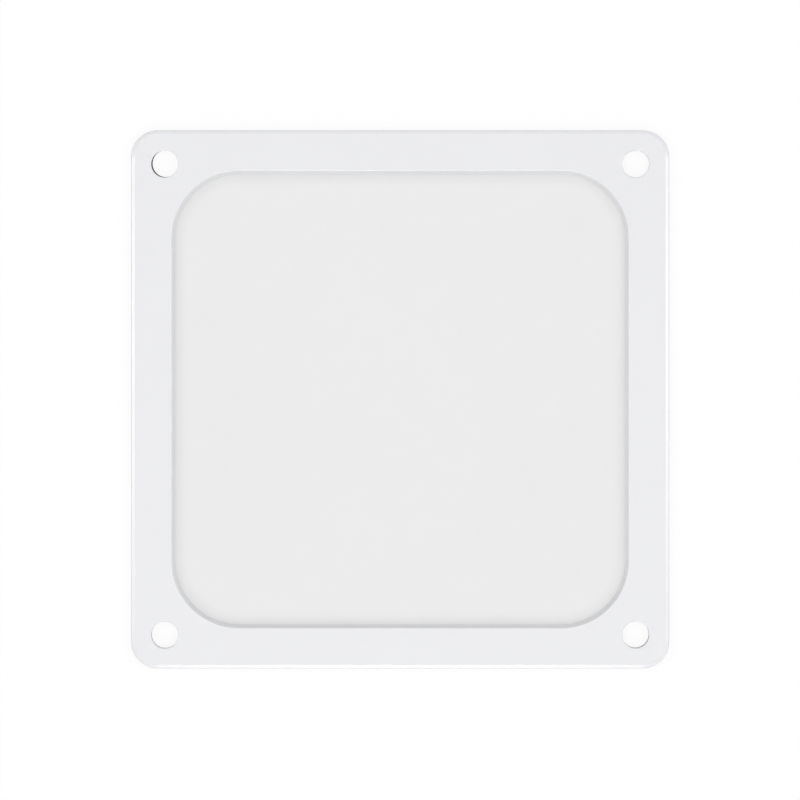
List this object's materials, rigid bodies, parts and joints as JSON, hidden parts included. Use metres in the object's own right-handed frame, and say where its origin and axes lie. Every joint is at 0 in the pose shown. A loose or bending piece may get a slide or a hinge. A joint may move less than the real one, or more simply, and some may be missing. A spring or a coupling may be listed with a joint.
{
  "type": "fan dust filter",
  "caption": "Square dust filter for a 120 mm fan: a thin white frame with round corners and screw holes, a fine mesh screen, and a dark magnetic sheet on its back.",
  "frame": {"origin": "on the surface that the filter lies on, under the middle of its back", "axes": "+Z out of the front face, +Y towards the edge that is at the top in the picture, +X to the right seen from the front"},
  "size_m": [0.12, 0.12, 0.003],
  "materials": {
    "white_frame": "satin white moulded plastic with a fine grain",
    "white_mesh": "fine white nylon monofilament mesh",
    "dark_magnet": "matt dark flexible magnetic sheet"
  },
  "bodies": {
    "root": {"front_frame": "white_frame", "mesh_screen": "white_mesh", "magnet_sheet": "dark_magnet"}
  },
  "joints": []
}
